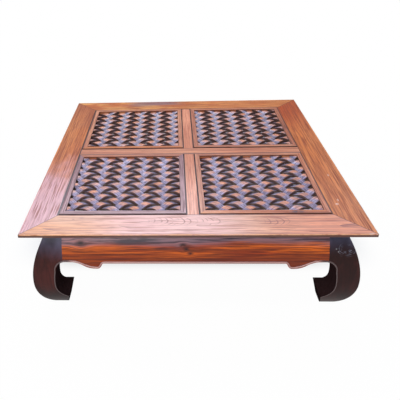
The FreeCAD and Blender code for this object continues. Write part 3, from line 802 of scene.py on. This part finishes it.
def bead(side):
    """The raised bead of one side, along its apron and down both legs."""
    half = [(inset - HALF_BOARD, height, share) for inset, height, share in bead_line()]
    run = half[::-1] + [(-across, height, share) for across, height, share in half[1:]]
    curve = bpy.data.curves.new("bead_" + side, "CURVE")
    curve.dimensions = "3D"
    curve.bevel_depth = BEAD
    curve.bevel_resolution = 3
    curve.use_fill_caps = True
    spline = curve.splines.new("POLY")
    spline.points.add(len(run) - 1)
    turns = ("front", "right", "back", "left").index(side)
    turn = Matrix.Rotation(turns * QUARTER, 3, "Z")
    for point, (across, height, share) in zip(spline.points, run):
        inset, slope = face_inset(height)
        inward = Vector((0, 1, -slope)).normalized()
        place = Vector((across, inset - HALF_BOARD, height)) + inward * BEAD_SUNK * share
        point.co = (*(turn @ place), 1)
        point.radius = share
    holder = placed("bead_line", curve)
    bpy.context.view_layer.update()
    mesh = bpy.data.meshes.new_from_object(holder)
    bpy.data.objects.remove(holder)
    return placed("bead_" + side, mesh)


def bead_wood():
    """The bead has a painted highlight on its upper side, is red-brown below, and is dark down the
    legs.
    """
    wood = Wood("bead_wood", 0, 71)
    ragged = wood.mottled((18, 18, 60), 3.0)
    _, _, facing = wood.facing("Normal")
    low = wood.step(abs(wood.x).least(abs(wood.y)), 0.430, 0.455)
    colour = wood.layered(wood.blend(ragged, tint(126, 54, 36), tint(160, 76, 50)),
                          # Painted highlight on the upper side
                          (wood.step(facing, 0.05, 0.55) * 0.75, tint(200, 168, 168)),
                          (low * 0.92, tint(74, 62, 64)))
    return wood.oiled(colour, ragged * 0.2 + 0.3, ragged, 0.2)


BEAD_WOOD = bead_wood()
for side in ("front", "back", "left", "right"):
    trim = bead(side)
    trim.data.materials.clear()
    trim.data.materials.append(BEAD_WOOD)
    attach(trim, "root")


# Floor, light and camera

WHITE = (1, 1, 1, 1)
FLOOR_GREY = (0.93, 0.93, 0.93, 1)
SHADOW_UNDER_TABLE = (0.20, 0.20, 0.20, 1)
FLOOR_SIZE = 14
ROOM_LIGHT = 0.2                # strength of the light from all round


def floor_finish():
    """A pale floor that looks white and keeps the table's shadow, with a painted shadow making it
    deepest under the middle.
    """
    finish = Finish(bpy.data.materials.new("pale_floor"))
    x, y, _ = finish.split(finish.place)
    far = finish.step((x * x + y * y) ** 0.5, 0.8, 1.8)
    aside = abs(x)
    deep = finish.step(aside, 0.84, 0.50) * finish.step(y, 1.00, 0.46) \
        * finish.step(y, -0.38, -0.16)
    # Painted shadow: the floor's colour darkens under the table
    under = finish.step(aside, 0.60, 0.50) * finish.step(abs(y), 0.60, 0.50)
    matt = finish.mixed(under * 0.8,
                        finish.node("ShaderNodeBsdfDiffuse", {}, {"Color": FLOOR_GREY}),
                        finish.node("ShaderNodeBsdfDiffuse", {}, {"Color": SHADOW_UNDER_TABLE}))
    white = finish.node("ShaderNodeEmission", {}, {"Color": WHITE, "Strength": 1.0})
    share = finish.seen() * (0.98 + far * 0.02) * (1 - deep)
    return finish.shown(finish.mixed(share, matt, white))


ground = bmesh.new()
bmesh.ops.create_grid(ground, x_segments=1, y_segments=1, size=FLOOR_SIZE)
ground_mesh = bpy.data.meshes.new("floor")
ground.to_mesh(ground_mesh)
ground.free()
floor = placed("floor", ground_mesh)
floor.data.materials.append(floor_finish())


def studio_light():
    """Soft light from all round, with a white backdrop up to a little above the horizon."""
    world = bpy.data.worlds.new("studio")
    bpy.context.scene.world = world
    room = Finish(world, "Generated")
    _, _, rise = room.split(room.place)
    backdrop = room.step(rise, 0.24, 0.14) * room.seen()
    light = room.node("ShaderNodeBackground", {}, {
        "Color": WHITE, "Strength": backdrop * (1 - ROOM_LIGHT) + ROOM_LIGHT})
    room.shown(light, "ShaderNodeOutputWorld")


def soft_lamp(name, place, target, width, height, watts, colour):
    """A rectangle of light at one place, turned to another and unseen itself."""
    lamp = bpy.data.lights.new(name, "AREA")
    lamp.shape = "RECTANGLE"
    lamp.size, lamp.size_y = width, height
    lamp.energy = watts
    lamp.color = colour
    holder = placed(name, lamp)
    holder.location = place
    way = Vector(target) - Vector(place)
    holder.rotation_euler = way.to_track_quat("-Z", "Y").to_euler()
    holder.visible_camera = False


studio_light()
soft_lamp("sheen_light", place=(-0.45, 2.57, 2.87), target=(-0.15, -0.55, 0.375),
          width=2.4, height=0.5, watts=38, colour=(0.96, 0.95, 1.0))
soft_lamp("sky_light", place=(0, 1.95, 3.20), target=(0, -0.1, 0.37),
          width=5.0, height=2.0, watts=108, colour=(0.64, 0.77, 1.0))
soft_lamp("front_light", place=(-0.8, -3.2, 2.2), target=(0, 0, 0.3),
          width=1.8, height=1.4, watts=84, colour=(1.0, 0.97, 0.95))

# The camera, solved from the photograph: the picture is 400 by 400 pixels
PICTURE = 400
FOCAL_PIXELS = 455.438
PRINCIPAL = (150.0, 174.84)
SENSOR = 36.0                   # millimetres
AZIMUTH, ELEVATION, ROLL = math.radians(3.386), math.radians(30.524), math.radians(-2.233)
AIM = Vector((-0.1648, -0.2055, 0.375))
DISTANCE = 1.8648

lens = bpy.data.cameras.new("camera")
lens.sensor_width = SENSOR
lens.lens = FOCAL_PIXELS * SENSOR / PICTURE
lens.shift_x = 0.5 - PRINCIPAL[0] / PICTURE
lens.shift_y = PRINCIPAL[1] / PICTURE - 0.5
back = Vector((math.sin(AZIMUTH) * math.cos(ELEVATION), -math.cos(AZIMUTH) * math.cos(ELEVATION),
               math.sin(ELEVATION)))
level = UP.cross(back).normalized()
upward = back.cross(level)
right = level * math.cos(ROLL) + upward * math.sin(ROLL)
top = upward * math.cos(ROLL) - level * math.sin(ROLL)
camera = placed("camera", lens)
camera.matrix_world = Matrix.Translation(AIM + back * DISTANCE) \
    @ Matrix((right, top, back)).transposed().to_4x4()
bpy.context.scene.camera = camera

bpy.context.scene.view_settings.view_transform = "Standard"
